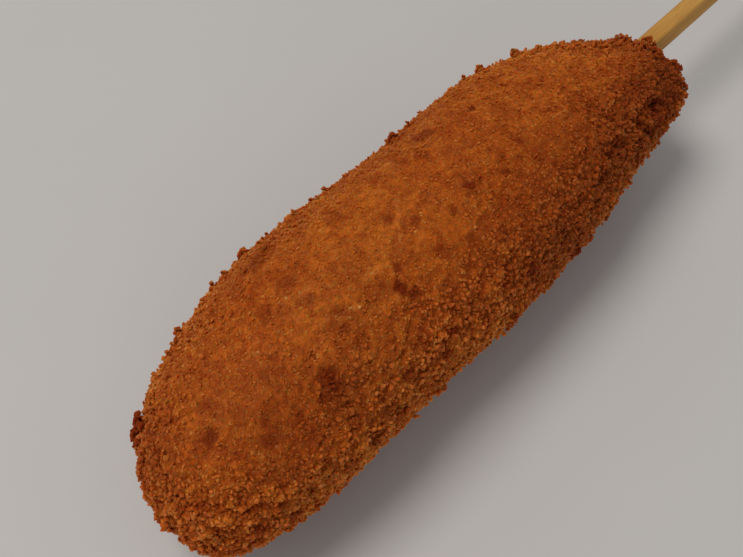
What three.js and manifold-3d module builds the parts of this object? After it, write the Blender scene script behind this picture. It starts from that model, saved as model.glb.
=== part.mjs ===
// A crumbed corn dog on a square stick, lying on its side.
//
// Millimetres, +Z up, +X along the body towards the stick. The origin is the middle of the small
// flat spot on the underside that the crust rests on. Two pieces: the crust is one solid with its
// crumbs and crags fused on, and the stick runs into a snug socket in its pointed end.
import * as THREE from "three";
import { mergeVertices } from "three/addons/utils/BufferGeometryUtils.js";
import Module from "manifold-3d";

const wasm = await Module();
wasm.setup();

// ---- driving dimensions ----

const BODY_LENGTH = 150; // blunt tip to stick end
const BODY_RADIUS = 24.5; // at the fattest part
const FLAT_DEPTH = 1.1; // how far the underside is pressed flat where it rests
const REST_SHARE = 0.45; // share of the length, from the blunt tip, that stands over the origin

// Each end is a quarter of a superellipse. share is how much of the length it takes, and a
// greater root makes it blunter.
const BLUNT_TIP = { share: 0.32, power: 1.6, root: 3.1 };
const STICK_END = { share: 0.52, power: 1.5, root: 2.9 };

// The body is bowed a little, like the sausage inside it: both ends drift towards -Y.
const TIP_DRIFT = { y: -6, share: 0.6 };
const STICK_END_DRIFT = { y: -8, share: 0.21 };

// Places on the crust are given by along, the share of the length from the blunt tip, and around,
// the angle in degrees from the top towards +Y. These are the broad swells and hollows where the
// batter gathered or ran thin.
const SWELLS = [
  { along: 0.52, around: 70, height: -2.8, spread: 22 },
  { along: 0.3, around: -110, height: -2.0, spread: 25 },
  { along: 0.75, around: -110, height: 1.3, spread: 25 },
  { along: 0.9, around: 42, height: -1.4, spread: 14 },
  { along: 0.01, around: 75, height: -1.2, spread: 11 },
  { along: 0.03, around: -140, height: 0.9, spread: 12 },
];

// Gentle lumps where the batter ran thick or thin, and the grain of the fine crumbs.
const LUMP_HEIGHT = 0.55;
const LUMP_PITCH = 21;
const GRAIN_HEIGHT = 0.55;
const GRAIN_PITCH = 2.7; // edge length of the crust's faces

// Single coarse crumbs, spread evenly over the crust.
const COARSE_CRUMBS = 40;
const COARSE_CRUMB_SIZE = { least: 1.1, most: 1.7 }; // radius

const STICK_WIDTH = 4.5;
const STICK_CORNER = 0.6; // radius of its worn long edges
const STICK_INSIDE = 95; // length held in the body
const STICK_OUTSIDE = 85; // length that stands out of the crust
const STICK_Y = -1.2; // its axis where it leaves the body
const STICK_Z = 24;
const STICK_ROLL = -14; // degrees about its own axis
const STICK_SWING = -0.7; // degrees about +Z
const STICK_END_BEVEL = 0.4;
const SOCKET_CLEARANCE = 0.3;

const CENTRE_HEIGHT = BODY_RADIUS - FLAT_DEPTH;
const TIP_X = -REST_SHARE * BODY_LENGTH;

// The larger crags that break the outline: clusters of crumbs baked together. reach is how far the
// cluster spreads and crumbs is how many it holds.
const CRAGS = [
  { along: 0.049, around: 62, reach: 1.9, crumbs: 6 },
  { along: 0.012, around: -92, reach: 1.3, crumbs: 4 },
  { along: 0.155, around: 50, reach: 1.3, crumbs: 4 },
  { along: 0.3, around: 57, reach: 1.4, crumbs: 4 },
  { along: 0.4, around: 52, reach: 1.2, crumbs: 4 },
  { along: 0.575, around: 54, reach: 1.5, crumbs: 4 },
  { along: 0.747, around: 52, reach: 1.2, crumbs: 4 },
  { along: 0.822, around: 48, reach: 1.6, crumbs: 5 },
  { along: 0.982, around: 9, reach: 1.4, crumbs: 3 },
  { along: 0.987, around: -45, reach: 1.6, crumbs: 5 },
  { along: 0.66, around: -100, reach: 1.2, crumbs: 4 },
  { along: 0.545, around: -95, reach: 1.2, crumbs: 4 },
  { along: 0.38, around: -104, reach: 1.3, crumbs: 4 },
  { along: 0.2, around: -118, reach: 1.3, crumbs: 4 },
  { along: 0.48, around: 125, reach: 1.5, crumbs: 4 },
  { along: 0.76, around: 150, reach: 1.4, crumbs: 4 },
];

// ---- helpers ----

const radians = THREE.MathUtils.degToRad;

// A seeded draw between 0 and 1, so that each build is the same.
function seeded(seed) {
  let state = seed;
  return () => {
    state = (state + 0x6d2b79f5) | 0;
    let t = Math.imul(state ^ (state >>> 15), 1 | state);
    t = (t + Math.imul(t ^ (t >>> 7), 61 | t)) ^ t;
    return ((t ^ (t >>> 14)) >>> 0) / 4294967296;
  };
}

// A closed geometry as a solid that can be joined and cut.
function toSolid(geometry) {
  const bare = geometry.clone();
  bare.deleteAttribute("normal");
  bare.deleteAttribute("uv");
  const merged = mergeVertices(bare, 1e-4);
  return new wasm.Manifold(
    new wasm.Mesh({
      numProp: 3,
      vertProperties: new Float32Array(merged.attributes.position.array),
      triVerts: new Uint32Array(merged.index.array),
    }),
  );
}

function toGeometry(solid) {
  const { vertProperties, triVerts } = solid.getMesh();
  const geometry = new THREE.BufferGeometry();
  geometry.setAttribute("position", new THREE.BufferAttribute(vertProperties, 3));
  geometry.setIndex(new THREE.BufferAttribute(triVerts, 1));
  geometry.computeVertexNormals();
  return geometry;
}

// ---- the body's form ----

// Radius of the plain body at a share of its length from the blunt tip.
function bodyRadius(along) {
  const intoTip = Math.max(0, 1 - along / BLUNT_TIP.share);
  const intoEnd = Math.max(0, 1 - (1 - along) / STICK_END.share);
  const tip = (1 - intoTip ** BLUNT_TIP.power) ** (1 / BLUNT_TIP.root);
  const end = (1 - intoEnd ** STICK_END.power) ** (1 / STICK_END.root);
  return BODY_RADIUS * tip * end;
}

// The bowed centre line at a share of the length.
function bodyCentre(along) {
  const intoTip = Math.max(0, 1 - along / TIP_DRIFT.share);
  const intoEnd = Math.max(0, 1 - (1 - along) / STICK_END_DRIFT.share);
  return new THREE.Vector3(
    TIP_X + along * BODY_LENGTH,
    TIP_DRIFT.y * intoTip ** 2 + STICK_END_DRIFT.y * intoEnd ** 2,
    CENTRE_HEIGHT,
  );
}

// The way out of the body at an angle from the top towards +Y.
function wayOut(around) {
  return new THREE.Vector3(0, Math.sin(around), Math.cos(around));
}

// A smooth, uneven swell between -1 and 1 over the whole body.
function lump(point) {
  const { x, y, z } = point.clone().multiplyScalar((2 * Math.PI) / LUMP_PITCH);
  const broad = Math.sin(0.61 * x + 1.1) * Math.cos(0.83 * y - 0.4) * Math.cos(0.71 * z + 0.9);
  const near = Math.sin(1.23 * x - 0.7) * Math.sin(1.07 * y + 2.1) * Math.cos(1.31 * z - 1.3);
  return 0.6 * broad + 0.4 * near;
}

// A point on the plain body, and the same point on the swollen, lumpy crust before its grain.
function plainPoint(along, around) {
  return bodyCentre(along).addScaledVector(wayOut(around), bodyRadius(along));
}

function crustPoint(along, around) {
  const plain = plainPoint(along, around);
  const rise = SWELLS.reduce((sum, swell) => {
    const gap = plain.distanceTo(plainPoint(swell.along, radians(swell.around)));
    return sum + swell.height * Math.exp(-((gap / swell.spread) ** 2));
  }, LUMP_HEIGHT * lump(plain));
  return plain.addScaledVector(wayOut(around), rise);
}

// The direction that the plain body faces at a place on it.
function crustNormal(along, around) {
  const step = 0.002;
  const ahead = Math.min(1, along + step);
  const behind = Math.max(0, along - step);
  const slope = bodyRadius(ahead) - bodyRadius(behind);
  const run = (ahead - behind) * BODY_LENGTH;
  return wayOut(around).multiplyScalar(run).add(new THREE.Vector3(-slope, 0, 0)).normalize();
}

// Shares of the length at which rings lie evenly spaced along the outline.
function ringPlaces(pitch) {
  const samples = 4000;
  const lengths = [0];
  for (let i = 1; i <= samples; i++) {
    const rise = bodyRadius(i / samples) - bodyRadius((i - 1) / samples);
    lengths.push(lengths[i - 1] + Math.hypot(BODY_LENGTH / samples, rise));
  }
  const rings = Math.round(lengths[samples] / pitch);
  const places = [];
  for (let ring = 1, i = 0; ring < rings; ring++) {
    while (lengths[i] < (ring / rings) * lengths[samples]) i++;
    places.push(i / samples);
  }
  return places;
}

// The crust's surface: rings of points one pitch apart, each shaken a little out of place and
// along its own direction, with neighbouring rings sewn together and a point at each end.
function crustGeometry(draw) {
  const rowPitch = GRAIN_PITCH * Math.sqrt(3 / 4);
  const positions = [];
  const faces = [];
  const addPoint = (along, around) => {
    const grain = GRAIN_HEIGHT * (2 * draw() - 1);
    const point = crustPoint(along, around).addScaledVector(crustNormal(along, around), grain);
    positions.push(point.x, point.y, point.z);
    return positions.length / 3 - 1;
  };

  const rings = ringPlaces(rowPitch).map((along, index) => {
    const count = Math.max(5, Math.round((2 * Math.PI * bodyRadius(along)) / GRAIN_PITCH));
    const start = index * 2.4; // turns each ring, so that no seam runs along the body
    return Array.from({ length: count }, (_, i) => {
      const around = start + ((i + 0.3 * (draw() - 0.5)) / count) * 2 * Math.PI;
      return { around, vertex: addPoint(along, around) };
    });
  });

  // Sews two rings by always stepping along the one whose next point comes first.
  const turn = 2 * Math.PI;
  const sew = (a, b) => {
    const first = a[0].around;
    const wrap = (around) => (((around - first) % turn) + turn) % turn;
    const shift = b.reduce((best, p, i) => (wrap(p.around) < wrap(b[best].around) ? i : best), 0);
    const at = (ring, i, offset) => ring[(i + offset) % ring.length];
    const angle = (ring, i, offset) =>
      wrap(at(ring, i, offset).around) + (i >= ring.length ? turn : 0);
    let i = 0;
    let j = 0;
    while (i < a.length || j < b.length) {
      const stepA = j >= b.length || (i < a.length && angle(a, i + 1, 0) <= angle(b, j + 1, shift));
      if (stepA) {
        faces.push(at(a, i, 0).vertex, at(b, j, shift).vertex, at(a, i + 1, 0).vertex);
        i++;
      } else {
        faces.push(at(a, i, 0).vertex, at(b, j, shift).vertex, at(b, j + 1, shift).vertex);
        j++;
      }
    }
  };
  rings.slice(1).forEach((ring, i) => sew(rings[i], ring));

  const close = (ring, tip, flip) =>
    ring.forEach((p, i) => {
      const next = ring[(i + 1) % ring.length];
      faces.push(tip, ...(flip ? [next.vertex, p.vertex] : [p.vertex, next.vertex]));
    });
  close(rings[0], addPoint(0, 0), false);
  close(rings[rings.length - 1], addPoint(1, 0), true);

  const geometry = new THREE.BufferGeometry();
  geometry.setAttribute("position", new THREE.Float32BufferAttribute(positions, 3));
  geometry.setIndex(faces);
  return geometry;
}

// ---- crumbs ----

// One irregular crumb, sunk by half into the crust at a place on it.
function crumb(along, around, size, draw) {
  const geometry = new THREE.IcosahedronGeometry(size, 0);
  geometry.deleteAttribute("normal");
  geometry.deleteAttribute("uv");
  const shape = mergeVertices(geometry);
  const corners = shape.attributes.position;
  for (let i = 0; i < corners.count; i++) {
    const stretch = 0.75 + 0.5 * draw();
    corners.setXYZ(
      i,
      corners.getX(i) * stretch,
      corners.getY(i) * stretch,
      corners.getZ(i) * stretch,
    );
  }
  const place = crustPoint(along, around).addScaledVector(
    crustNormal(along, around),
    size * (0.5 * draw() - 0.1),
  );
  shape.rotateX(draw() * 6).rotateY(draw() * 6);
  shape.translate(place.x, place.y, place.z);
  return toSolid(shape);
}

// Coarse crumbs at evenly spread places, by the golden angle.
function coarseCrumbs(draw) {
  const goldenAngle = Math.PI * (3 - Math.sqrt(5));
  const places = ringPlaces(BODY_LENGTH / COARSE_CRUMBS);
  return places.map((along, i) => {
    const { least, most } = COARSE_CRUMB_SIZE;
    const size = least + (most - least) * draw();
    return crumb(along, i * goldenAngle + 0.5 * draw(), size, draw);
  });
}

// The crumbs of one crag, packed close round its middle.
function cragCrumbs({ along, around, reach, crumbs }, draw) {
  return Array.from({ length: crumbs }, (_, i) => {
    const turn = (i / crumbs) * 2 * Math.PI;
    const off = i === 0 ? 0 : reach * (0.6 + 0.5 * draw());
    const alongHere = along + (off * Math.cos(turn)) / BODY_LENGTH;
    const aroundHere = radians(around) + (off * Math.sin(turn)) / bodyRadius(along);
    const size = reach * (0.75 + 0.25 * draw());
    return crumb(Math.min(0.995, Math.max(0.005, alongHere)), aroundHere, size, draw);
  });
}

// ---- the stick ----

// A square bar with worn corners along +X, from x = 0 to its length, its width grown by grow.
function barGeometry(length, grow, bevel) {
  const half = STICK_WIDTH / 2 + grow;
  const corner = STICK_CORNER;
  const outline = new THREE.Shape();
  const corners = [
    [half, half, 0],
    [-half, half, 90],
    [-half, -half, 180],
    [half, -half, 270],
  ];
  corners.forEach(([x, y, from]) => {
    const cx = x - Math.sign(x) * corner;
    const cy = y - Math.sign(y) * corner;
    outline.absarc(cx, cy, corner, radians(from), radians(from + 90), false);
  });
  const geometry = new THREE.ExtrudeGeometry(outline, {
    depth: length - 2 * bevel,
    curveSegments: 3,
    bevelEnabled: bevel > 0,
    bevelThickness: bevel,
    bevelSize: bevel,
    bevelOffset: -bevel,
    bevelSegments: 1,
  });
  return geometry.translate(0, 0, bevel).rotateY(Math.PI / 2);
}

// The stick's place: its axis runs along the body and leaves it through the stick end.
function stickPlace() {
  const turned = new THREE.Euler(radians(STICK_ROLL), 0, radians(STICK_SWING), "ZYX");
  const place = new THREE.Matrix4().makeRotationFromEuler(turned);
  place.setPosition(TIP_X + BODY_LENGTH, STICK_Y, STICK_Z);
  return place.multiply(new THREE.Matrix4().makeTranslation(-STICK_INSIDE, 0, 0));
}

// ---- the pieces ----

function makeCrust() {
  const draw = seeded(7);
  const floor = new THREE.BoxGeometry(2 * BODY_LENGTH, 4 * BODY_RADIUS, BODY_RADIUS);
  floor.translate(0, 0, -BODY_RADIUS / 2);
  const socket = barGeometry(STICK_INSIDE + 40, SOCKET_CLEARANCE, 0);
  socket.translate(-SOCKET_CLEARANCE, 0, 0).applyMatrix4(stickPlace());

  const crumbs = [...coarseCrumbs(draw), ...CRAGS.flatMap((crag) => cragCrumbs(crag, draw))];
  const fused = wasm.Manifold.union([toSolid(crustGeometry(draw)), ...crumbs]);
  const cut = fused.subtract(toSolid(floor)).subtract(toSolid(socket));
  const largest = cut.decompose().reduce((a, b) => (a.volume() > b.volume() ? a : b));
  const material = new THREE.MeshStandardMaterial({
    color: 0x9a4f1e,
    roughness: 0.85,
    metalness: 0,
    flatShading: true,
  });
  const mesh = new THREE.Mesh(toGeometry(largest), material);
  mesh.name = "crumbed_body";
  return mesh;
}

function makeStick() {
  const material = new THREE.MeshStandardMaterial({
    color: 0xc4954b,
    roughness: 0.6,
    metalness: 0,
  });
  const mesh = new THREE.Mesh(
    barGeometry(STICK_INSIDE + STICK_OUTSIDE, 0, STICK_END_BEVEL),
    material,
  );
  mesh.name = "stick";
  mesh.applyMatrix4(stickPlace());
  return mesh;
}

const cornDog = new THREE.Group();
cornDog.add(makeCrust(), makeStick());

export default cornDog;
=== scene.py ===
"""A crumbed corn dog on a square bamboo stick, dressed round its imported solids.

Metres, in the row's frame: +X runs along the body from its blunt tip towards the stick, +Z is up,
and the body rests on z = 0.
"""

import math

import bpy
from mathutils import Matrix, Vector, noise


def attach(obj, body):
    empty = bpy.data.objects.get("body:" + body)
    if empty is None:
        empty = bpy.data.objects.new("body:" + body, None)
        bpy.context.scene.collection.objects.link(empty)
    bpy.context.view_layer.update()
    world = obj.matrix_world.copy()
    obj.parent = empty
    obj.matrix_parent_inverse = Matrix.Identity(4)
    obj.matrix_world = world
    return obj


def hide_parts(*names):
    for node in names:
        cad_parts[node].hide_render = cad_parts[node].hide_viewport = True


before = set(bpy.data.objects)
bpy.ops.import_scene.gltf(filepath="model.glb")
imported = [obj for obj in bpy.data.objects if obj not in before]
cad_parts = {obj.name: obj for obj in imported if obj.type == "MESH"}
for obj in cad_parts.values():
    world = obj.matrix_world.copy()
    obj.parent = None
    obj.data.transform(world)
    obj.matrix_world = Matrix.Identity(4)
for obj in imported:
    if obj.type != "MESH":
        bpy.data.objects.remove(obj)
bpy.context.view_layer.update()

MM = 0.001
TURN = 2 * math.pi

# ---- the body's form, the same as the solid's ----

BODY_LENGTH = 150 * MM
BODY_RADIUS = 24.5 * MM
FLAT_DEPTH = 1.1 * MM  # how much of the round underside the flat spot takes away
REST_SHARE = 0.45  # where the flat spot's middle is, as a share of the length from the blunt tip
CENTRE_HEIGHT = BODY_RADIUS - FLAT_DEPTH

# Each end is a quarter of a superellipse: its share of the length, its power and its root.
BLUNT_TIP = (0.32, 1.6, 3.1)
STICK_END = (0.52, 1.5, 2.9)

# How far each end drifts sideways, and the share of the length over which it does.
TIP_DRIFT = (-6 * MM, 0.6)
STICK_END_DRIFT = (-8 * MM, 0.21)

# A place on the crust is its share of the length from the blunt tip and its angle in degrees from
# the top towards +Y. These are broad swells: place, height and spread.
SWELLS = [
    (0.52, 70, -2.8 * MM, 22 * MM),
    (0.30, -110, -2.0 * MM, 25 * MM),
    (0.75, -110, 1.3 * MM, 25 * MM),
    (0.90, 42, -1.4 * MM, 14 * MM),
    (0.01, 75, -1.2 * MM, 11 * MM),
    (0.03, -140, 0.9 * MM, 12 * MM),
]
LUMP_HEIGHT = 0.55 * MM
LUMP_PITCH = 21 * MM

STICK_WIDTH = 4.5 * MM
STICK_ROLL = math.radians(-14)  # its turn about its own length
STICK_SWING = math.radians(-0.7)  # how far it points off +X
STICK_INSIDE = 95 * MM
STICK_OUTSIDE = 85 * MM

# Where the stick leaves the body.
STICK_MOUTH = Vector(((1 - REST_SHARE) * BODY_LENGTH, -1.2 * MM, 24 * MM))

# ---- the crust's own marks ----

# Crags that stand out of the crust: place, reach and stand in mm, and browning.
CRAGS = [
    (0.06, 69, 2.0, 0.6, 0.8),
    (0.045, 70, 2.0, 0.6, 0.8),
    (0.035, 44, 1.0, 0.5, 0.25),
    (0.08, 52, 1.0, 0.5, 0.15),
    (0.095, 62, 0.9, 0.5, 0.1),
    (0.14, 63, 1.0, 0.5, 0.15),
    (0.17, 62, 1.5, 0.8, 0.2),
    (0.22, 62, 1.0, 0.5, 0.2),
    (0.245, 62, 1.3, 0.7, 0.3),
    (0.265, 61, 0.9, 0.5, 0.15),
    (0.305, 58, 2.0, 0.3, 0.35),
    (0.345, 58, 0.9, 0.5, 0.2),
    (0.415, 48, 1.2, 0.6, 0.35),
    (0.445, 52, 1.1, 0.6, 0.05),
    (0.57, 56, 1.0, 0.5, 0.2),
    (0.575, 49, 1.9, 0.4, 0.6),
    (0.61, 53, 1.0, 0.5, 0.2),
    (0.73, 54, 1.1, 0.6, 0.2),
    (0.76, 53, 1.6, 0.8, 0.25),
    (0.82, 49, 1.7, 0.8, 0.25),
    (0.845, 39, 1.4, 0.7, 0.0),
    (0.86, 30, 1.0, 0.5, 0.15),
    (0.88, 20, 1.1, 0.6, 0.15),
    (0.905, 14, 1.5, 0.8, 0.2),
    (0.93, 14, 1.2, 0.6, 0.25),
    (0.96, 20, 1.5, 0.8, 0.25),
    (0.97, 2, 1.6, 0.7, 0.3),
    (0.975, 9, 1.5, 2.2, 0.3),
    (0.985, -28, 1.1, 0.6, 0.25),
    (0.985, -38, 1.5, 1.3, 0.8),
    (0.985, -58, 1.3, 0.7, 0.8),
    (0.00, 97, 1.3, 0.7, 0.8),
    (0.00, 126, 1.8, 0.3, 0.1),
    (0.00, -33, 1.0, 0.5, 0.2),
    (0.01, -90, 1.3, 0.7, 0.1),
    (0.295, -81, 1.4, 0.7, 0.8),
    (0.38, -104, 1.3, 0.7, 0.1),
    (0.515, -93, 1.5, 0.8, 0.8),
    (0.545, -99, 1.2, 0.6, 0.0),
    (0.605, -103, 1.1, 0.6, 0.15),
    (0.665, -98, 1.4, 0.7, 0.8),
    (0.70, -102, 1.2, 0.6, 0.05),
    (0.20, -118, 1.3, 0.7, 0.2),
    (0.35, 105, 1.2, 0.6, 0.15),
    (0.48, 125, 1.5, 0.8, 0.15),
    (0.65, 95, 1.3, 0.7, 0.3),
    (0.76, 150, 1.4, 0.7, 0.25),
]

# Toasted spots: place, reach in mm and strength.
TOASTED_SPOTS = [
    (0.085, -8, 1.7, 0.8),
    (0.11, 5, 1.3, 0.5),
    (0.14, -25, 1.2, 0.6),
    (0.13, -34, 1.6, 0.6),
    (0.175, -36, 1.3, 0.5),
    (0.20, -26, 0.9, 0.5),
    (0.23, -35, 2.8, 0.8),
    (0.215, -38, 1.6, 0.8),
    (0.28, 12, 2.1, 0.5),
    (0.235, 11, 1.8, 0.5),
    (0.225, 7, 1.2, 0.4),
    (0.285, -3, 1.2, 0.4),
    (0.30, -16, 1.5, 0.5),
    (0.285, -22, 1.3, 0.5),
    (0.295, -33, 2.2, 0.4),
    (0.285, 38, 3.6, 0.7),
    (0.395, 20, 2.1, 0.5),
    (0.475, 23, 2.3, 0.4),
    (0.435, -2, 1.4, 0.7),
    (0.46, -11, 1.4, 0.7),
    (0.395, -21, 1.5, 0.8),
    (0.38, -28, 1.9, 1.0),
    (0.39, -34, 1.8, 0.9),
    (0.365, -22, 1.4, 0.5),
    (0.505, -21, 1.2, 0.6),
    (0.50, -36, 1.7, 0.5),
    (0.545, -43, 1.4, 0.6),
    (0.55, -16, 1.4, 1.0),
    (0.545, -20, 1.6, 0.5),
    (0.605, -23, 1.3, 0.8),
    (0.615, -16, 1.6, 0.5),
    (0.655, -16, 0.9, 0.8),
    (0.655, 17, 1.1, 1.0),
    (0.58, 25, 2.6, 0.8),
    (0.545, 13, 2.0, 0.6),
    (0.525, 18, 1.4, 0.5),
    (0.75, 5, 2.4, 0.3),
    (0.785, -26, 2.6, 0.4),
    (0.885, -37, 3.0, 0.4),
    (0.675, -38, 0.9, 0.6),
    (0.455, -31, 1.6, 0.35),
    (0.56, -73, 2.6, 1.0),
    (0.475, 52, 1.6, 0.8),
    (0.325, -64, 1.5, 0.6),
    (0.24, -60, 1.5, 0.5),
    (0.25, -83, 2.1, 0.6),
    (0.065, -79, 1.9, 0.8),
    (0.025, -68, 1.9, 0.7),
    (0.035, 24, 1.3, 0.7),
    (0.785, -59, 3.0, 0.4),
    (0.905, -66, 4.0, 0.6),
    (0.18, 110, 2.6, 0.7),
    (0.35, 135, 2.4, 0.6),
    (0.52, 100, 1.8, 0.8),
    (0.64, 160, 2.6, 0.7),
    (0.45, -160, 2.4, 0.5),
    (0.78, -130, 2.0, 0.7),
    (0.83, 105, 1.8, 0.6),
    (0.10, 165, 2.2, 0.6),
]

# Seams from one place to another, their half width in mm and their strength. Crumbs lie pale and proud
# along a seam above zero, and sunken, darkened by painted shade, along one below zero.
SEAMS = [
    (0.465, 3, 0.405, -21, 0.7, 0.5),
    (0.355, -15, 0.375, -15, 0.7, 0.6),
    (0.305, -19, 0.325, -22, 0.5, 1.0),
    (0.26, 7, 0.315, -5, 0.7, 0.5),
    (0.265, -10, 0.305, -22, 0.6, 0.5),
    (0.45, -18, 0.47, -12, 0.5, 0.6),
    (0.22, 1, 0.24, -9, 0.9, 0.4),
    (0.175, 3, 0.19, -1, 1.0, 0.4),
    (0.55, -13, 0.56, -16, 0.4, 1.0),
    (0.02, -27, 0.04, -43, 0.6, -0.9),
    (0.04, -48, 0.06, -58, 0.6, -0.9),
    (0.06, -59, 0.105, -71, 0.7, -0.9),
    (0.09, -29, 0.11, -35, 0.4, -0.6),
    (0.22, -63, 0.295, -72, 0.6, -0.6),
    (0.38, -67, 0.40, -77, 0.7, -1.0),
    (0.395, -65, 0.42, -66, 0.8, -1.0),
    (0.725, -66, 0.76, -67, 0.8, -0.8),
    (0.77, -56, 0.805, -63, 0.9, -0.8),
    (0.85, -58, 0.885, -82, 0.9, -1.0),
    (0.875, -54, 0.95, -71, 1.0, -1.0),
    (0.15, 140, 0.18, 150, 0.6, -0.7),
    (0.30, 100, 0.34, 112, 0.7, -0.8),
    (0.62, 130, 0.66, 122, 0.8, -0.8),
]

SEAM_STEPS = 3  # straight runs in each seam
SEAM_STRAY = 2.0 * MM  # how far a seam wanders from its line

# Broad patches that darken the crust, partly as browning from frying and partly as painted shade, and
# that lighten it where the strength is below zero, partly as golden frying and partly as painted
# light: place, reach in mm and strength.
BROWNING_AND_SHADE_PATCHES = [
    (0.60, -72, 16, 0.35),
    (0.72, -66, 14, 0.5),
    (0.87, -60, 13, 0.55),
    (0.92, -78, 8, 0.2),
    (0.94, -38, 9, 0.25),
    (0.98, -70, 8, 0.35),
    (0.98, -5, 8, 0.4),
    (0.80, -40, 9, 0.2),
    (0.93, 60, 12, 0.35),
    (0.66, 36, 12, 0.1),
    (0.54, 40, 12, 0.1),
    (0.36, -60, 12, 0.2),
    (0.24, -46, 8, 0.3),
    (0.14, -52, 8, 0.3),
    (0.17, -25, 9, 0.2),
    (0.03, -80, 8, 0.2),
    (0.04, 5, 8, 0.1),
    (0.02, 50, 9, 0.4),
    (0.83, -4, 12, -0.3),
    (0.80, 18, 10, -0.1),
    (0.42, 0, 11, -0.6),
    (0.32, -12, 9, -0.6),
    (0.06, -58, 7, -0.5),
    (0.40, -82, 12, -0.4),
    (0.18, -88, 12, -0.5),
]

# ---- the crust's pieces ----

CORE_STEPS = (380, 258)  # along the body and round it
SCATTER_STEPS = (160, 110)
POLE_MERGE = 0.001 * MM  # points of the grid nearer to each other than this become one
CORE_RELIEF = 0.85 * MM
CORE_INSET = 0.42 * MM  # how far the crust under its crumbs lies inside the body's form
POLE_REACH = 3 * MM  # nearer to the middle of an end than this, the form's swells fade away
GRAIN_PITCH = 1.15 * MM  # from one half-sunk crumb to the next
GRAIN_NOISE_PITCH = 0.8 * MM
TONE_PITCH = 1.4 * MM

# Colours of the batter and of the crumbs on it: deepest, for their darker tone and as painted shade in
# the gaps;
# brown; golden; and palest, for pale crumbs and as a painted highlight on their tops. Then those of a
# broad dark patch, partly browning and partly painted shade, and of a toasted spot.
BATTER = ((0.26, 0.033, 0.003), (0.50, 0.10, 0.005), (0.63, 0.16, 0.012), (0.74, 0.26, 0.055))
CRUMB = ((0.29, 0.038, 0.003), (0.57, 0.12, 0.007), (0.72, 0.193, 0.015), (0.86, 0.36, 0.11))
DARK_PATCH = (0.20, 0.037, 0.005)
TOASTED = (0.17, 0.016, 0.001)
# A painted sheen: the colour is paler and less red where the crust faces a side.
PAINTED_SHEEN_TINT = (0.97, 1.06, 1.18)  # times the colour, at the sides

# How far apart the crust's patches, mottle, freckles and specks of colour are, how strong the mottle
# and the freckles are, how deep a speck is and how far apart the bumps of a spot's edge are.
PATCH_PITCH = 15 * MM
MOTTLE_PITCH = 4.4 * MM
MOTTLE_SHARE = 0.42
FRECKLE_PITCH = 1.3 * MM
FRECKLE_SHARE = 0.38
SPECK_PITCH = 0.45 * MM
SPECK_DEPTH = 0.25 * MM
SPOT_EDGE_PITCH = 1.7 * MM

# The crust is finer on top and coarser low on its near side and at its ends, where its crumbs
# stick together in clumps.
COARSE_PITCH = 18 * MM  # from one coarser patch to the next
CLUMP_PITCH = 2.7 * MM
CLUMP_HEIGHT = 1.7 * MM
KNOB_PITCH = 1.45 * MM

# Kinds of crumb: radius where the crust is fine and where it is coarse, least gap between two of
# them, the shares of them that grow on a fine and on a coarse crust, facets, darkest and palest,
# and browning.
CRUMBS = {
    "fine_crumbs": (0.26 * MM, 0.33 * MM, 0.70 * MM, 1.0, 0.2, 10, 0.1, 0.8, 0.0),
    "toasted_crumbs": (0.27 * MM, 0.35 * MM, 0.76 * MM, 1.0, 0.2, 10, 0.0, 0.5, 0.25),
    "golden_crumbs": (0.26 * MM, 0.44 * MM, 1.05 * MM, 1.0, 1.0, 20, 0.3, 0.8, 0.0),
    "pale_flakes": (0.26 * MM, 0.44 * MM, 1.15 * MM, 1.0, 1.0, 20, 0.5, 1.0, 0.0),
    "coarse_crumbs": (0.30 * MM, 0.50 * MM, 0.95 * MM, 0.1, 1.0, 20, 0.2, 0.8, 0.0),
}

CRUMB_PACKING = 3  # how many crumbs or clots are tried for in each square of their gap
CRUMB_SPREAD = (0.7, 1.3)  # least and most times a crumb's radius
CRUMB_STRETCH = ((0.7, 0.6, 0.5), (1.5, 1.2, 1.0))  # least and most stretch of its three sides
CRUMB_BEND_PITCH = 0.9 * MM
CRUMB_UNEVENNESS = 2.2  # how far a crumb is bent out of true, as a share of its size
CRUMB_FOOT = 0.5 * MM  # crumbs grow above this height
CRUMB_SEEDS = 10  # from one kind's seed to the next

# Small clots of crumbs all over the crust, made like the crags.
CLOT_GAP = 4.2 * MM
CLOT_REACH = (0.7, 1.5)  # least and most, in mm as in a crag's row
CLOT_BROWNING = (-0.4, 0.6)
CLOT_UNEVENNESS = 1.7
CLOT_FOOT = 2 * MM
CLOT_SEED = 90
CLOT_STAND = 0.35  # how far its middle stands out of the crust, as a share of its reach
CLOT_CRUMBS = 5  # for each square millimetre of reach
CLOT_CRUMB = (0.22, 0.42)  # radius of a crumb in a clot or crag, as a share of its reach
CLOT_HEART = 0.45  # radius of the large crumb in the middle of each, as a share too
CLOT_SPREAD = 0.85  # how far the others lie from it


# ---- node trees ----


def is_vector(value):
    """Whether a value is a vector, or a wire that carries one."""
    return isinstance(value, Vector) or (
        isinstance(value, Wire) and value.socket.type == "VECTOR"
    )


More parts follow.
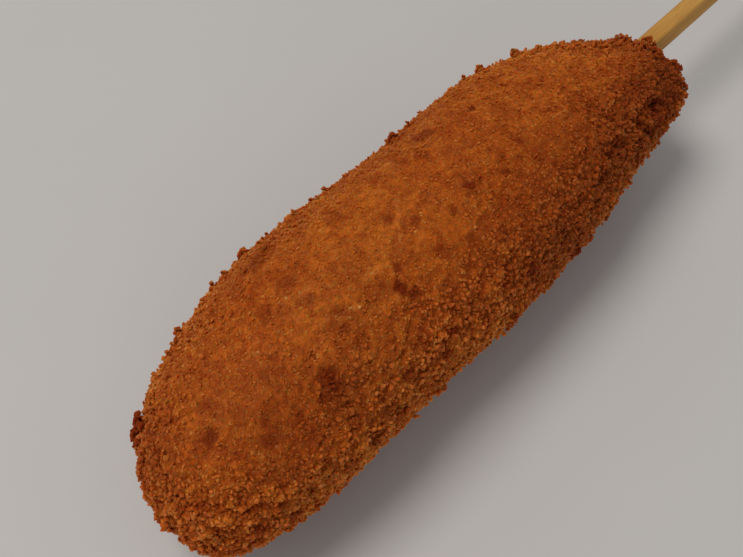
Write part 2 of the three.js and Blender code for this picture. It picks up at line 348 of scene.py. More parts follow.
class Wire:
    """A node's socket as a value. Arithmetic on it adds Math nodes, or Vector Math for vectors."""

    def __init__(self, tree, socket):
        self.tree = tree
        self.socket = socket

    def other(self, name):
        """Another output of the same node."""
        return Wire(self.tree, self.socket.node.outputs[name])

    def maths(self, operation, *values):
        """A Math node whose first value is this one."""
        return self.tree.add("ShaderNodeMath", [self, *values], operation=operation)

    def vector(self, operation, *values):
        """A Vector Math node whose first vector is this one."""
        out = "Value" if operation in ("DOT_PRODUCT", "LENGTH", "DISTANCE") else "Vector"
        return self.tree.add("ShaderNodeVectorMath", [self, *values], out, operation=operation)

    def join(self, operation, first, second):
        """One value out of two, as a vector where either of them is one."""
        vectors = [value for value in (first, second) if is_vector(value)]
        if operation == "MULTIPLY" and len(vectors) == 1:
            scale = second if vectors[0] is first else first
            inputs = {0: vectors[0], "Scale": scale}
            return self.tree.add("ShaderNodeVectorMath", inputs, operation="SCALE")
        kind = "ShaderNodeVectorMath" if vectors else "ShaderNodeMath"
        return self.tree.add(kind, [first, second], operation=operation)

    def __add__(self, other):
        return self.join("ADD", self, other)

    def __radd__(self, other):
        return self.join("ADD", other, self)

    def __sub__(self, other):
        return self.join("SUBTRACT", self, other)

    def __rsub__(self, other):
        return self.join("SUBTRACT", other, self)

    def __mul__(self, other):
        return self.join("MULTIPLY", self, other)

    def __rmul__(self, other):
        return self.join("MULTIPLY", other, self)

    def __truediv__(self, other):
        return self.join("DIVIDE", self, other)

    def __rtruediv__(self, other):
        return self.join("DIVIDE", other, self)

    def __pow__(self, other):
        return self.join("POWER", self, other)


class Tree:
    """A node tree that grows one node at a time."""

    def __init__(self, made):
        self.made = made

    def add(self, kind, inputs=(), out=0, **settings):
        """Adds a node: first its settings, then its sockets' values or links."""
        node = self.made.nodes.new(kind)
        for name, value in settings.items():
            setattr(node, name, value)
        for place, value in inputs.items() if isinstance(inputs, dict) else enumerate(inputs):
            self.feed(node.inputs[place], value)
        return Wire(self, node.outputs[out]) if node.outputs else node

    def feed(self, socket, value):
        """Links a wire or a list of wires to a socket, or sets the socket to a plain value."""
        if isinstance(value, Wire):
            self.made.links.new(value.socket, socket)
        elif socket.is_multi_input:
            for wire in value:
                self.made.links.new(wire.socket, socket)
        elif socket.type == "RGBA":
            socket.default_value = (*value, 1)
        elif socket.type == "VECTOR" and isinstance(value, (int, float)):
            socket.default_value = (value,) * 3
        else:
            socket.default_value = value

    def mix(self, factor, first, second, blend="MIX"):
        """A Mix node on two colours."""
        inputs = {0: factor, 6: first, 7: second}
        return self.add("ShaderNodeMix", inputs, 2, data_type="RGBA", blend_type=blend)

    def mixed(self, factor, first, second):
        """A number between two others, and past them where the factor is past 0 or 1."""
        return first + (second - first) * factor

    def ease(self, value, low, high, to_low=0.0, to_high=1.0):
        """A smooth step of a value between low and high."""
        inputs = [value, low, high, to_low, to_high]
        return self.add("ShaderNodeMapRange", inputs, interpolation_type="SMOOTHSTEP")

    def noise(self, place, pitch, detail=2.0, out="Fac"):
        """Noise whose waves are about one pitch long."""
        inputs = {"Vector": place, "Scale": 1 / pitch, "Detail": detail}
        return self.add("ShaderNodeTexNoise", inputs, out)

    def cells(self, place, pitch):
        """The distance from the middle of the nearest of many cells about one pitch across."""
        return self.add("ShaderNodeTexVoronoi", {"Vector": place, "Scale": 1 / pitch})

    def random(self, low, high, seed):
        """A draw for each element, between two numbers or two vectors."""
        first, out, kind = (0, 0, "FLOAT_VECTOR") if isinstance(low, tuple) else (2, 1, "FLOAT")
        inputs = {first: low, first + 1: high, "Seed": seed}
        return self.add("FunctionNodeRandomValue", inputs, out, data_type=kind)

    def store(self, shape, name, value, kind="FLOAT"):
        """Keeps a value on a shape as a named attribute."""
        inputs = {"Geometry": shape, "Name": name, "Value": value}
        return self.add("GeometryNodeStoreNamedAttribute", inputs, data_type=kind, domain="POINT")

    def stored(self, name, kind="FLOAT"):
        """A named attribute's value."""
        return self.add("GeometryNodeInputNamedAttribute", [name], data_type=kind)

    def of_element(self, shape, index, value, domain="POINT", kind="FLOAT"):
        """A value at one element of another shape, by its index."""
        inputs = {"Geometry": shape, "Value": value, "Index": index}
        return self.add("GeometryNodeSampleIndex", inputs, data_type=kind, domain=domain)

    def position(self):
        return self.add("GeometryNodeInputPosition")

    def moved(self, shape, offset):
        """A shape with each point moved by an offset, but never below the surface it rests on."""
        shape = self.add("GeometryNodeSetPosition", {"Geometry": shape, "Offset": offset})
        place = self.add("ShaderNodeSeparateXYZ", [self.position()])
        floored = [place.other("X"), place.other("Y"), over_zero(place.other("Z"))]
        place = self.add("ShaderNodeCombineXYZ", floored)
        return self.add("GeometryNodeSetPosition", {"Geometry": shape, "Position": place})


# ---- the form, for plain numbers and for a tree's wires alike ----


def over_zero(value):
    """A value, or 0 where it is below that."""
    return value.maths("MAXIMUM", 0.0) if isinstance(value, Wire) else max(value, 0.0)


def sine(value):
    return value.maths("SINE") if isinstance(value, Wire) else math.sin(value)


def cosine(value):
    return value.maths("COSINE") if isinstance(value, Wire) else math.cos(value)


def exponential(value):
    return value.maths("EXPONENT") if isinstance(value, Wire) else math.exp(value)


def rounded_end(into_body, end):
    """How full the body is at a share of its length from one end, from 0 to 1."""
    share, power, root = end
    return over_zero(1 - over_zero(1 - into_body / share) ** power) ** (1 / root)


def body_radius(along):
    """The plain body's radius at a share of its length."""
    return BODY_RADIUS * rounded_end(along, BLUNT_TIP) * rounded_end(1 - along, STICK_END)


def plain_point(along, around):
    """A point of the plain body, as three coordinates."""
    tip_y, tip_share = TIP_DRIFT
    end_y, end_share = STICK_END_DRIFT
    drift = (
        tip_y * over_zero(1 - along / tip_share) ** 2
        + end_y * over_zero(1 - (1 - along) / end_share) ** 2
    )
    radius = body_radius(along)
    x = (along - REST_SHARE) * BODY_LENGTH
    return x, drift + radius * sine(around), CENTRE_HEIGHT + radius * cosine(around)


def lump(x, y, z):
    """A smooth, uneven swell between -1 and 1 over the whole body."""
    x, y, z = [side * (TURN / LUMP_PITCH) for side in (x, y, z)]
    broad = sine(0.61 * x + 1.1) * cosine(0.83 * y - 0.4) * cosine(0.71 * z + 0.9)
    near = sine(1.23 * x - 0.7) * sine(1.07 * y + 2.1) * cosine(1.31 * z - 1.3)
    return 0.6 * broad + 0.4 * near


def crust_point(along, around):
    """A point of the swollen, lumpy crust, before its grain."""
    x, y, z = plain_point(along, around)
    rise = LUMP_HEIGHT * lump(x, y, z) - CORE_INSET
    for swell_along, swell_around, height, spread in SWELLS:
        middle = plain_point(swell_along, math.radians(swell_around))
        gap = sum((side - middle_side) ** 2 for side, middle_side in zip((x, y, z), middle))
        rise = rise + height * exponential(gap * (-1 / spread**2))
    rise = rise * (1 - exponential(body_radius(along) ** 2 * (-1 / POLE_REACH**2)))
    x = x + CORE_INSET * (1 - 2 * along)
    return x, y + rise * sine(around), over_zero(z + rise * cosine(around))


# ---- making pieces ----

SOCKET_KINDS = {
    float: "NodeSocketFloat",
    int: "NodeSocketInt",
    bpy.types.Object: "NodeSocketObject",
    bpy.types.Material: "NodeSocketMaterial",
}


def link_object(name, content):
    """A new object in the scene that holds a mesh, a light or a camera."""
    made = bpy.data.objects.new(name, content)
    bpy.context.scene.collection.objects.link(made)
    return made


def spot(along, degrees):
    """A point of the crust as a vector, by its share of the length and its angle in degrees."""
    return Vector(crust_point(along, math.radians(degrees)))


def marks(name, rows, *labels):
    """An object with a point for each of the crust's marks, its way out and its labelled numbers."""
    mesh = bpy.data.meshes.new(name)
    mesh.from_pydata([spot(along, degrees) for along, degrees, *_ in rows], [], [])
    mesh.attributes.new("outward", "FLOAT_VECTOR", "POINT")
    for label in labels:
        mesh.attributes.new(label, "FLOAT", "POINT")
    for index, (along, degrees, *numbers) in enumerate(rows):
        lengthwise = spot(min(along + 0.01, 1), degrees) - spot(max(along - 0.01, 0), degrees)
        crosswise = spot(along, degrees + 1) - spot(along, degrees - 1)
        outward = lengthwise.cross(crosswise).normalized()
        mesh.attributes["outward"].data[index].vector = outward
        for label, number in zip(labels, numbers):
            mesh.attributes[label].data[index].value = number
    return link_object(name, mesh)


def seam_lines():
    """An object with a line over the crust for each seam, its half width and its strength."""
    mesh = bpy.data.meshes.new("seam_lines")
    points, lines = [], []
    for along, degrees, far_along, far_degrees, *_ in SEAMS:
        for step in range(SEAM_STEPS + 1):
            share = step / SEAM_STEPS
            if step:
                lines.append((len(points) - 1, len(points)))
            points.append(
                spot(
                    along + share * (far_along - along),
                    degrees + share * (far_degrees - degrees),
                )
            )
    mesh.from_pydata(points, lines, [])
    for label in ("width", "strength"):
        mesh.attributes.new(label, "FLOAT", "EDGE")
    for index in range(len(lines)):
        *_, width, strength = SEAMS[index // SEAM_STEPS]
        mesh.attributes["width"].data[index].value = width
        mesh.attributes["strength"].data[index].value = strength
    return link_object("seam_lines", mesh)


def grow(name, build, inputs):
    """Makes a piece with a node tree of its own, and keeps only the plain mesh that it gives.

    build(tree, given) adds the nodes, and inputs are the tree's named inputs and their values.
    """
    made = bpy.data.node_groups.new(name, "GeometryNodeTree")
    made.interface.new_socket("Geometry", in_out="OUTPUT", socket_type="NodeSocketGeometry")
    sockets = {}
    for label, value in inputs.items():
        kind = next(socket for held, socket in SOCKET_KINDS.items() if isinstance(value, held))
        sockets[label] = made.interface.new_socket(label, in_out="INPUT", socket_type=kind)
    tree = Tree(made)
    first = tree.add("NodeGroupInput")
    given = {label: first.other(label) for label in inputs}
    shape = tree.add("GeometryNodeRealizeInstances", [build(tree, given)])
    dressed = {"Geometry": shape, "Material": given["Material"]}
    shape = tree.add("GeometryNodeSetMaterial", dressed)
    tree.add("NodeGroupOutput", [shape])

    piece = link_object(name, bpy.data.meshes.new(name))
    modifier = piece.modifiers.new(name, "NODES")
    modifier.node_group = made
    for label, value in inputs.items():
        modifier[sockets[label].identifier] = value
    bpy.context.view_layer.update()
    graph = bpy.context.evaluated_depsgraph_get()
    plain = bpy.data.meshes.new_from_object(
        piece.evaluated_get(graph), preserve_all_data_layers=True, depsgraph=graph
    )
    piece.modifiers.remove(modifier)
    piece.data = plain
    plain.name = name
    return piece


def crust_surface(tree, given):
    """The crust before its grain: a grid with one side along the body and the other round it."""
    inputs = {
        "Size X": 1.0,
        "Size Y": 1.0,
        "Vertices X": given["Steps Along"],
        "Vertices Y": given["Steps Around"],
    }
    grid = tree.add("GeometryNodeMeshGrid", inputs)
    chart = tree.add("ShaderNodeSeparateXYZ", [tree.position()])
    along = 0.5 - 0.5 * cosine((chart + 0.5) * math.pi)
    place = tree.add("ShaderNodeCombineXYZ", crust_point(along, chart.other("Y") * TURN))
    shape = tree.add("GeometryNodeSetPosition", {"Geometry": grid, "Position": place})
    shape = tree.add("GeometryNodeMergeByDistance", {"Geometry": shape, "Distance": POLE_MERGE})
    shape = tree.store(shape, "coarse", coarseness(tree))
    # Where the finish paints a sheen at the sides.
    return tree.store(shape, "side", painted_sheen_share(tree))


def clumped(tree, given, shape, outward):
    """Lifts a shape's points where the crumbs stick together in clumps and stores how far."""
    place = tree.position()
    stray = tree.noise(place, given["Clump Pitch"], 2.0, "Color").vector("SUBTRACT", (0.5, 0.5, 0.5))
    mounds = 0.5 - tree.cells(place + stray * (given["Clump Pitch"] * 1.2), given["Clump Pitch"])
    swells = tree.noise(place, given["Clump Pitch"], 3.0) - 0.5
    knobs = 0.45 - tree.cells(place + stray * KNOB_PITCH, KNOB_PITCH)
    shape = tree.store(shape, "seam", seams(tree, given, place + stray * SEAM_STRAY))
    clump = mounds * 0.6 + swells * 1.1 + knobs * 0.85 + tree.stored("seam") * 0.5
    # The clump value is also kept for the finish, which paints shade into its hollows.
    shape = tree.store(shape, "clump", clump)
    rise = tree.stored("clump") * (tree.stored("coarse") * 0.85 + 0.15) * given["Clump Height"]
    return tree.moved(shape, outward * rise)


def seams(tree, given, place):
    """How far a place lies in a pale seam, as a number above zero, or in a dark one, below it."""
    lines = tree.add("GeometryNodeObjectInfo", [given["Seams"]], "Geometry")
    inputs = {"Geometry": lines, "Sample Position": place}
    nearest = tree.add("GeometryNodeSampleNearest", inputs, domain="EDGE")
    gap = tree.add("GeometryNodeProximity", inputs, "Distance", target_element="EDGES")
    gap = gap / (tree.of_element(lines, nearest, tree.stored("width"), "EDGE") * MM)
    strength = tree.of_element(lines, nearest, tree.stored("strength"), "EDGE")
    return exponential(gap * gap * -1) * strength


def browned(place):
    """How far the broad patches darken a place, partly as browning and partly as painted shade; below
    zero they lighten it, partly as painted light.
    """
    total = 0.0
    for along, degrees, reach, strength in BROWNING_AND_SHADE_PATCHES:
        gap = (place - spot(along, degrees)).vector("LENGTH") / (reach * MM)
        total = total + exponential(gap * gap * -1) * strength
    return total


def coarseness(tree):
    """How coarse the crust is: 0 on its smooth top, 1 low on its near side, more by the stick."""
    x = tree.add("ShaderNodeSeparateXYZ", [tree.position()])
    outward = tree.add("ShaderNodeSeparateXYZ", [tree.add("GeometryNodeInputNormal")])
    across = outward.other("Y")
    sides = across * -0.1 + across * across * 0.47
    ends = outward * outward * 0.9
    far_by_tip = tree.ease(across, 0.0, 0.6) * tree.ease(x, 10 * MM, -30 * MM) * 0.15
    patches = (tree.noise(tree.position(), COARSE_PITCH, 2.0) - 0.5) * 0.6
    by_stick = over_zero(outward) * 0.8 + tree.ease(x, 25 * MM, 60 * MM) * over_zero(across * -1) * 0.5
    return tree.ease(sides + ends + far_by_tip + patches, -0.1, 0.7) + by_stick


def painted_sheen_share(tree):
    """How far the crust faces a side, where a painted sheen makes it less red: 0 on top and 1 at
    either rim.
    """
    across = tree.add("ShaderNodeSeparateXYZ", [tree.add("GeometryNodeInputNormal")], "Y")
    return tree.ease(across, 0.3, 0.8) + tree.ease(across, -0.9, -1.0)


def toast(tree, given, shape, place):
    """Stores how far the nearest toasted spot darkens a place, with a ragged edge."""
    spots = tree.add("GeometryNodeObjectInfo", [given["Toasted Spots"]], "Geometry")
    inputs = {"Geometry": spots, "Sample Position": place}
    nearest = tree.add("GeometryNodeSampleNearest", inputs, domain="POINT")
    middle = tree.of_element(spots, nearest, tree.position(), kind="FLOAT_VECTOR")
    reach = tree.of_element(spots, nearest, tree.stored("reach")) * MM
    strength = tree.of_element(spots, nearest, tree.stored("strength"))
    ragged = (tree.noise(place, SPOT_EDGE_PITCH, 3.0) - 0.5) * 1.8
    dark = tree.ease(place.vector("DISTANCE", middle) / reach + ragged, 1.05, 0.6) * strength
    # How far the broad patches darken the place, partly as browning and partly as painted shade.
    shape = tree.store(shape, "browned", browned(place))
    return tree.store(shape, "toast", dark.maths("MAXIMUM", given["Browning"]))


def build_core(tree, given):
    """The crust under its crumbs: the body with a grain of half-sunk crumbs."""
    normal = tree.add("GeometryNodeInputNormal")
    shape = clumped(tree, given, crust_surface(tree, given), normal)
    place = tree.position()
    grain = 0.5 - tree.cells(place, GRAIN_PITCH) + (tree.noise(place, GRAIN_NOISE_PITCH) - 0.5)
    coarse = tree.stored("coarse")
    shape = tree.moved(shape, normal * (grain * (coarse * 0.65 + 0.35) * given["Relief"]))
    shape = tree.store(shape, "tone", tree.noise(place, TONE_PITCH))
    # How high each point of the grain stands, which the finish turns into painted shade low down and a
    # painted highlight high up.
    shape = tree.store(shape, "rise", tree.ease(grain, -0.6, 0.5))
    shape = toast(tree, given, shape, place)
    return tree.add("GeometryNodeSetShadeSmooth", [shape])


def crumb_shape(tree, facets):
    """A crumb before it is stretched and bent, with 10 or 20 facets."""
    if facets == 10:
        return tree.add("GeometryNodeMeshUVSphere", [5, 2, 1.0])
    return tree.add("GeometryNodeMeshIcoSphere", [1.0, 1])


def crumbs_on(tree, given, points, outward, size, facets):
    """A crumb on each point, turned and stretched by chance and then bent out of true."""
    seed = given["Seed"]
    points = tree.store(points, "middle", tree.position(), "FLOAT_VECTOR")
    points = tree.store(points, "outward", outward, "FLOAT_VECTOR")
    points = tree.store(points, "size", size)
    tone = tree.random(0.0, 1.0, seed + 1) * (given["Palest"] - given["Darkest"]) + given["Darkest"]
    points = tree.store(points, "tone", tone)
    turned = tree.random((0.0, 0.0, 0.0), (TURN, TURN, TURN), seed + 2)
    stretched = tree.random(*CRUMB_STRETCH, seed + 3)
    inputs = {
        "Points": points,
        "Instance": crumb_shape(tree, facets),
        "Rotation": tree.add("FunctionNodeEulerToRotation", [turned]),
        "Scale": stretched * tree.stored("size"),
    }
    shape = tree.add("GeometryNodeInstanceOnPoints", inputs)
    shape = tree.add("GeometryNodeRealizeInstances", [shape])
    place = tree.position()
    bend = tree.noise(place, CRUMB_BEND_PITCH, 1.0, "Color").vector("SUBTRACT", (0.5, 0.5, 0.5))
    bent = tree.stored("size") * given["Unevenness"]
    shape = tree.moved(shape, bend * bent)
    lift = (tree.position() - tree.stored("middle", "FLOAT_VECTOR")).vector(
        "DOT_PRODUCT", tree.stored("outward", "FLOAT_VECTOR")
    )
    # How high each point of a crumb stands, which the finish turns into painted shade at its foot and
    # a painted highlight on its top.
    shape = tree.store(shape, "rise", tree.ease(lift / tree.stored("size"), -0.7, 0.9))
    shape = toast(tree, given, shape, tree.stored("middle", "FLOAT_VECTOR"))
    for name in ("middle", "outward", "size"):
        shape = tree.add("GeometryNodeRemoveAttribute", {"Geometry": shape, "Name": name})
    return shape


def build_crumbs(facets):
    """A tree of one kind of crumb, spread over the whole crust no closer than its gap."""

    def build(tree, given):
        surface = crust_surface(tree, given)
        inputs = {
            "Mesh": surface,
            "Selection": tree.add("ShaderNodeSeparateXYZ", [tree.position()], "Z") - CRUMB_FOOT,
            "Distance Min": given["Gap"],
            "Density Max": CRUMB_PACKING / given["Gap"] ** 2,
            "Density Factor": tree.mixed(
                tree.stored("coarse"), given["Fine Share"], given["Coarse Share"]
            ),
            "Seed": given["Seed"],
        }
        points = tree.add(
            "GeometryNodeDistributePointsOnFaces", inputs, distribute_method="POISSON"
        )
        outward = points.other("Normal")
        points = clumped(tree, given, points, outward)
        coarse = tree.stored("coarse")
        size = tree.mixed(coarse, given["Fine"], given["Coarse"])
        size = size * tree.random(*CRUMB_SPREAD, given["Seed"] + 5)
        luck = tree.random(0.0, 1.0, given["Seed"] + 6)
        sunk = coarse * 0.1 - 0.5
        out = outward * (size * (sunk + luck * (coarse * 0.4 + 0.35) + luck**6 * 0.7))
        lifted = tree.add("GeometryNodeSetPosition", {"Geometry": points, "Offset": out})
        return crumbs_on(tree, given, lifted, outward, size, facets)

    return build


def build_clots(tree, given):
    """Clots of crumbs that stand out of the crust: small ones all over and one at each crag."""
    seed = given["Seed"]
    crags = tree.add("GeometryNodeObjectInfo", [given["Crags"]], "Geometry")
    crags = tree.add("GeometryNodeMeshToPoints", [crags])
    surface = crust_surface(tree, given)
    inputs = {
        "Mesh": surface,
        "Selection": tree.add("ShaderNodeSeparateXYZ", [tree.position()], "Z") - CLOT_FOOT,
        "Distance Min": given["Gap"],
        "Density Max": CRUMB_PACKING / given["Gap"] ** 2,
        "Density Factor": tree.stored("coarse") * 0.8 + 0.2,
        "Seed": seed,
    }
    small = tree.add("GeometryNodeDistributePointsOnFaces", inputs, distribute_method="POISSON")
    outward = small.other("Normal")
    small = clumped(tree, given, small, outward)
    small = tree.store(small, "outward", outward, "FLOAT_VECTOR")
    reach = (tree.stored("coarse") * 0.5 + 0.5) * tree.random(*CLOT_REACH, seed + 8)
    small = tree.store(small, "reach", reach)
    small = tree.store(small, "stand", reach * CLOT_STAND)
    small = tree.store(small, "browning", tree.random(*CLOT_BROWNING, seed + 9))
    both = tree.add("GeometryNodeJoinGeometry", [[crags, small]])
    reach = tree.stored("reach")
    inputs = {"Geometry": both, "Amount": reach * reach * CLOT_CRUMBS + 3}
    copies = tree.add("GeometryNodeDuplicateElements", inputs, domain="POINT")
    small = tree.store(copies, "small", copies.other("Duplicate Index").maths("GREATER_THAN", 0.5))
    outward = tree.stored("outward", "FLOAT_VECTOR")
    reach = tree.stored("reach") * MM
    about = tree.random((-1.0, -1.0, -1.0), (1.0, 1.0, 1.0), seed + 7)
    out = about.vector("DOT_PRODUCT", outward)
    about = about - outward * (out * 0.5)
    domed = 1 - about.vector("DOT_PRODUCT", about) * tree.stored("small") * 0.35
    offset = about * (tree.stored("small") * CLOT_SPREAD * reach)
    offset = offset + outward * (domed * tree.stored("stand") * MM)
    points = tree.add("GeometryNodeSetPosition", {"Geometry": small, "Offset": offset})
    crumb = tree.random(*CLOT_CRUMB, seed + 5)
    size = tree.mixed(tree.stored("small"), CLOT_HEART, crumb) * reach
    given = {**given, "Browning": tree.stored("browning")}
    return crumbs_on(tree, given, points, outward, size, 20)


def finish(name, settings):
    """A material with its tree and its Principled shader, and what is the same all over."""
    material = bpy.data.materials.new(name)
    material.use_nodes = True
    tree = Tree(material.node_tree)
    shader = material.node_tree.nodes["Principled BSDF"]
    for socket, value in settings.items():
        tree.feed(shader.inputs[socket], value)
    return material, tree, shader


def crust_finish(name, deep_and_gap_shade, brown, golden, pale_and_highlight):
    """Fried crumbs: golden on their backs, toasted near black in spots, with painted shade deep in the
    gaps, a painted highlight on their tops and a painted sheen at the sides.
    """
    settings = {
        "Specular IOR Level": 0.06,
        "Sheen Weight": 0.01,
        "Sheen Roughness": 0.5,
        "Subsurface Weight": 0.8,
        "Subsurface Scale": 1.1 * MM,
        "Subsurface Radius": Vector((1.0, 0.35, 0.1)),
    }
    material, tree, shader = finish(name, settings)
    place = tree.add("ShaderNodeTexCoord", out="Object")
    tone, dark, rise, coarse, clump, seam, patched, side = [
        tree.add("ShaderNodeAttribute", out="Fac", attribute_name=kept)
        for kept in ("tone", "toast", "rise", "coarse", "clump", "seam", "browned", "side")
    ]
    patches = tree.ease(tree.noise(place, PATCH_PITCH, 3.0), 0.36, 0.64)
    speck = tree.noise(place, SPECK_PITCH, 2.0)
    # Below zero, the broad patches shift the colour towards golden, partly as painted light.
    colour = tree.mix(patches * 0.5 + tone * 0.35 - patched * 0.8, brown, golden)
    mottle = tree.ease(tree.noise(place, MOTTLE_PITCH, 4.0), 0.42, 0.64)
    freckle = tree.ease(tree.noise(place, FRECKLE_PITCH, 2.0), 0.40, 0.66)
    hollow = tree.ease(clump, 0.25, -0.4)
    # Painted highlight: crumbs of high tone are paler towards their tops, and every crumb's top is
    # paler where the crust is coarse.
    colour = tree.mix(tree.ease(tone, 0.5, 1.0) * 0.4 * rise, colour, pale_and_highlight)
    colour = tree.mix(tree.ease(rise, 0.5, 1.0) * (coarse * 0.2 + 0.05), colour, pale_and_highlight)
    # Painted shade: darker low on each crumb and grain, and in the hollows between clumps.
    colour = tree.mix((1 - rise) * (coarse * 0.1 + 0.25), colour, deep_and_gap_shade)
    colour = tree.mix(hollow * (coarse * 0.3 + 0.35), colour, deep_and_gap_shade)
    colour = tree.mix(mottle * MOTTLE_SHARE, colour, deep_and_gap_shade)
    colour = tree.mix(freckle * FRECKLE_SHARE, colour, deep_and_gap_shade)
    specked = 0.24 - coarse * 0.08
    colour = tree.mix(tree.ease(speck, 0.48, 0.72) * specked, colour, deep_and_gap_shade)
    colour = tree.mix(tree.ease(speck, 0.48, 0.28) * specked, colour, pale_and_highlight)
    colour = tree.mix(tree.ease(seam, 0.1, 0.8) * tree.ease(tone, 0.35, 0.75) * 0.8, colour, pale_and_highlight)
    # Painted shade along the sunken seams.
    colour = tree.mix(tree.ease(seam, -0.1, -0.8) * 0.7, colour, deep_and_gap_shade)
    # The broad patches' dark colour, partly browning and partly painted shade.
    colour = tree.mix(patched * (patches * 0.5 + 0.75), colour, DARK_PATCH)
    # Painted sheen: paler and less red where the crust faces a side.
    colour = tree.mix(side, colour, PAINTED_SHEEN_TINT, "MULTIPLY")
    colour = tree.mix(dark * 0.9, colour, TOASTED)
    tree.feed(shader.inputs["Base Color"], colour)
    tree.feed(shader.inputs["Roughness"], tree.ease(speck, 0.3, 0.7, 0.42, 0.75))
    inputs = {"Strength": 0.5, "Distance": SPECK_DEPTH, "Height": speck}
    tree.feed(shader.inputs["Normal"], tree.add("ShaderNodeBump", inputs))
    return material


def dress(piece, slot, *nodes):
    """Every piece rides on the one body."""
    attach(piece, "root")
    if nodes:
        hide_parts(*nodes)


def make_crust():
    """The crust, its kinds of crumb and its crags, all grown on the same form."""
    batter = crust_finish("browned batter", *BATTER)
    crumb = crust_finish("fried crumbs", *CRUMB)
    spots = marks("toasted_spots", TOASTED_SPOTS, "reach", "strength")
    crags = marks("crag_places", CRAGS, "reach", "stand", "browning")
    lines = seam_lines()
    clumps = {
        "Clump Pitch": CLUMP_PITCH,
        "Clump Height": CLUMP_HEIGHT,
        "Seams": lines,
        "Toasted Spots": spots,
    }
    core = {
        **clumps,
        "Steps Along": CORE_STEPS[0],
        "Steps Around": CORE_STEPS[1],
        "Relief": CORE_RELIEF,
        "Browning": 0.0,
        "Material": batter,
    }
    dress(grow("crust", build_core, core), "crust", "crumbed_body")
    scatter = {
        **clumps,
        "Steps Along": SCATTER_STEPS[0],
        "Steps Around": SCATTER_STEPS[1],
        "Material": crumb,
    }
    for order, (name, kind) in enumerate(CRUMBS.items()):
        fine, coarse, gap, fine_share, coarse_share, facets, darkest, palest, browning = kind
        crumbs = {
            **scatter,
            "Fine": fine,
            "Coarse": coarse,
            "Gap": gap,
            "Fine Share": fine_share,
            "Coarse Share": coarse_share,
            "Unevenness": CRUMB_UNEVENNESS,
            "Darkest": darkest,
            "Palest": palest,
            "Browning": browning,
            "Seed": CRUMB_SEEDS * order,
        }
        dress(grow(name, build_crumbs(facets), crumbs), "crust")
    clots = {
        **scatter,
        "Crags": crags,
        "Gap": CLOT_GAP,
        "Unevenness": CLOT_UNEVENNESS,
        "Darkest": 0.0,
        "Palest": 0.8,
        "Seed": CLOT_SEED,
    }
    dress(grow("crags", build_clots, clots), "crust")
    for places in (spots, crags, lines):
        bpy.data.objects.remove(places)


# ---- the stick ----

STICK_CORNER_POWER = 7  # how square the section is
STICK_STEPS = 180
STICK_SIDES = 48
STICK_BEVEL = 0.35 * MM
FIBRE_HEIGHT = 0.035 * MM
FIBRE_LENGTH = 9 * MM
FIBRES_ACROSS = 5

# Colours of the bamboo: its darker and paler bands, its grain, its fibres, and where oil soaked in.
BAMBOO_BANDS = ((0.50, 0.235, 0.045), (0.63, 0.345, 0.08))
BAMBOO_GRAIN = (0.38, 0.16, 0.03)
BAMBOO_FIBRE = (0.25, 0.09, 0.017)
BAMBOO_OILED = (0.42, 0.16, 0.02)
LONG_WAY = (0.035, 1.0, 1.0)  # scale of the pattern, which is drawn out along the stick
BAND_PITCH = 1.8 * MM
BAMBOO_GRAIN_PITCH = 0.35 * MM
BAMBOO_GRAIN_DEPTH = 0.08 * MM
FIBRE_PITCH = 0.22 * MM
OIL_REACH = 12 * MM
OIL_STRAY = 6 * MM


def stick_mesh():
    """A square bar with worn edges and fine fibres, sawn off square, before it is put in place."""
    length = STICK_INSIDE + STICK_OUTSIDE
    half = STICK_WIDTH / 2
    worn = 1 - STICK_BEVEL / half
    rings = [(0.0, 0.5), (0.0, worn), (STICK_BEVEL, 1.0)]
    rings += [(length * step / STICK_STEPS, 1.0) for step in range(1, STICK_STEPS)]
    rings += [(length - STICK_BEVEL, 1.0), (length, worn), (length, 0.5)]
    points = [Vector((0, 0, 0))]
    for x, fullness in rings:
        for side in range(STICK_SIDES):
            angle = TURN * (side + 0.5) / STICK_SIDES
            across, up = math.cos(angle), math.sin(angle)
            corner = (abs(across) ** STICK_CORNER_POWER + abs(up) ** STICK_CORNER_POWER) ** (
                -1 / STICK_CORNER_POWER
            )
            fibres = FIBRES_ACROSS * corner
            fibre = noise.noise(Vector((x / FIBRE_LENGTH, fibres * across, fibres * up)))
            radius = fullness * corner * half + FIBRE_HEIGHT * fibre * fullness
            points.append(Vector((x, radius * across, radius * up)))
    points.append(Vector((length, 0, 0)))
    last = len(points) - 1
    faces = []
    for ring in range(len(rings) - 1):
        for side in range(STICK_SIDES):
            beside = (side + 1) % STICK_SIDES
            a, b = 1 + ring * STICK_SIDES + side, 1 + ring * STICK_SIDES + beside
            faces.append((a, b, b + STICK_SIDES, a + STICK_SIDES))
    start = last - STICK_SIDES
    for side in range(STICK_SIDES):
        beside = (side + 1) % STICK_SIDES
        faces.append((0, 1 + beside, 1 + side))
        faces.append((last, start + side, start + beside))
    mesh = bpy.data.meshes.new("stick")
    mesh.from_pydata(points, [], faces)
    mesh.shade_smooth()
    return mesh


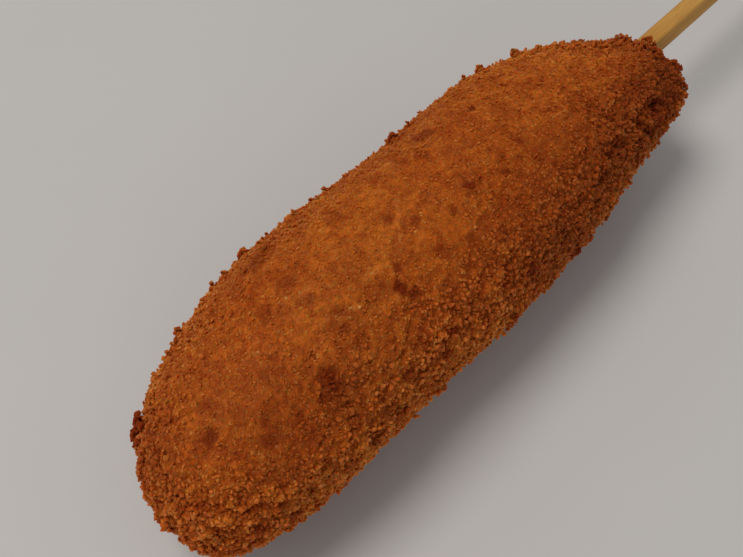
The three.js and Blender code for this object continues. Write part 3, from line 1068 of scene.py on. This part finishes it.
def bamboo_finish():
    """Planed bamboo: long fine grain, a few darker fibres, and frying oil soaked in by the crust."""
    material, tree, shader = finish("bamboo", {"Specular IOR Level": 0.25})
    place = tree.add("ShaderNodeTexCoord", out="Object")
    long_way = tree.add("ShaderNodeMapping", {"Vector": place, "Scale": LONG_WAY})
    grain = tree.noise(long_way, BAMBOO_GRAIN_PITCH, 3.0)
    bands = tree.noise(long_way, BAND_PITCH, 2.0)
    fibres = tree.ease(tree.noise(long_way, FIBRE_PITCH, 1.0), 0.62, 0.7)
    colour = tree.mix(bands, *BAMBOO_BANDS)
    colour = tree.mix(tree.ease(grain, 0.35, 0.7) * 0.35, colour, BAMBOO_GRAIN)
    colour = tree.mix(fibres * 0.4, colour, BAMBOO_FIBRE)
    along = tree.add("ShaderNodeSeparateXYZ", [place])
    oiled = along + (bands - 0.5) * OIL_STRAY
    oiled = tree.ease(oiled, STICK_MOUTH.x + OIL_REACH, STICK_MOUTH.x)
    colour = tree.mix(oiled * 0.4, colour, BAMBOO_OILED)
    tree.feed(shader.inputs["Base Color"], colour)
    tree.feed(shader.inputs["Roughness"], tree.ease(grain, 0.3, 0.7, 0.45, 0.65))
    inputs = {"Strength": 0.4, "Distance": BAMBOO_GRAIN_DEPTH, "Height": grain}
    tree.feed(shader.inputs["Normal"], tree.add("ShaderNodeBump", inputs))
    return material


def make_stick():
    """The whole stick, put in place with its inner length in the body."""
    mesh = stick_mesh()
    place = (
        Matrix.Translation(STICK_MOUTH)
        @ Matrix.Rotation(STICK_SWING, 4, "Z")
        @ Matrix.Rotation(STICK_ROLL, 4, "X")
        @ Matrix.Translation((-STICK_INSIDE, 0, 0))
    )
    mesh.transform(place)
    mesh.materials.append(bamboo_finish())
    dress(link_object("bamboo_stick", mesh), "stick", "stick")


# ---- floor, light and camera ----

FLOOR_HALF = 12.0
FLOOR_DROP = 0.1 * MM
FLOOR_TONES = ((0.56, 0.545, 0.53), (0.59, 0.575, 0.56))
FLOOR_CLOUDS = 60 * MM
KEY_PLACE = Vector((-0.44, 0.50, 1.88))
KEY_SIZE = 1.0
KEY_POWER = 19.2
FILL_PLACE = Vector((-1.5, -1.3, 0.8))
FILL_SIZE = 1.2
FILL_POWER = 3.0
LAMP_COLOUR = (1.0, 0.96, 0.91)
SKY = (0.97, 0.98, 1.0)
SKY_STRENGTH = 0.35

CAMERA_AZIMUTH = math.radians(-46)
CAMERA_ELEVATION = math.radians(58)
CAMERA_ROLL = math.radians(-0.8)
CAMERA_DISTANCE = 255 * MM
CAMERA_SENSOR = 36  # its width in mm
CAMERA_LENS = 60  # in mm too
CAMERA_NEAR = 10 * MM
CAMERA_TARGET = Vector((-3.4 * MM, 2.3 * MM, 23.5 * MM))


def make_floor():
    half = FLOOR_HALF
    mesh = bpy.data.meshes.new("floor")
    corners = [(-half, -half, 0), (half, -half, 0), (half, half, 0), (-half, half, 0)]
    mesh.from_pydata(corners, [], [(0, 1, 2, 3)])
    mesh.transform(Matrix.Translation((0, 0, -FLOOR_DROP)))
    material, tree, shader = finish("pale floor", {"Specular IOR Level": 0.25, "Roughness": 0.55})
    place = tree.add("ShaderNodeTexCoord", out="Object")
    colour = tree.mix(tree.noise(place, FLOOR_CLOUDS, 2.0), *FLOOR_TONES)
    tree.feed(shader.inputs["Base Color"], colour)
    mesh.materials.append(material)
    link_object("floor", mesh)


def add_light(name, place, size, power):
    """A soft round lamp that faces the origin."""
    lamp = bpy.data.lights.new(name, "AREA")
    lamp.shape = "DISK"
    lamp.size = size
    lamp.energy = power
    lamp.color = LAMP_COLOUR
    made = link_object(name, lamp)
    made.location = place
    made.rotation_mode = "QUATERNION"
    made.rotation_quaternion = place.to_track_quat("Z", "Y")


def make_light():
    add_light("key", KEY_PLACE, KEY_SIZE, KEY_POWER)
    add_light("fill", FILL_PLACE, FILL_SIZE, FILL_POWER)
    world = bpy.data.worlds.new("studio")
    world.use_nodes = True
    background = world.node_tree.nodes["Background"]
    background.inputs["Color"].default_value = (*SKY, 1)
    background.inputs["Strength"].default_value = SKY_STRENGTH
    bpy.context.scene.world = world
    bpy.context.scene.view_settings.view_transform = "Standard"


def make_camera():
    lens = bpy.data.cameras.new("camera")
    lens.sensor_width = CAMERA_SENSOR
    lens.lens = CAMERA_LENS
    lens.clip_start = CAMERA_NEAR
    made = link_object("camera", lens)
    back = Vector(
        (
            math.sin(CAMERA_AZIMUTH) * math.cos(CAMERA_ELEVATION),
            -math.cos(CAMERA_AZIMUTH) * math.cos(CAMERA_ELEVATION),
            math.sin(CAMERA_ELEVATION),
        )
    )
    turned = back.to_track_quat("Z", "Y").to_matrix().to_4x4()
    turned = turned @ Matrix.Rotation(CAMERA_ROLL, 4, "Z")
    made.matrix_world = Matrix.Translation(CAMERA_TARGET + CAMERA_DISTANCE * back) @ turned
    bpy.context.scene.camera = made


make_camera()
make_light()
make_floor()
make_crust()
make_stick()
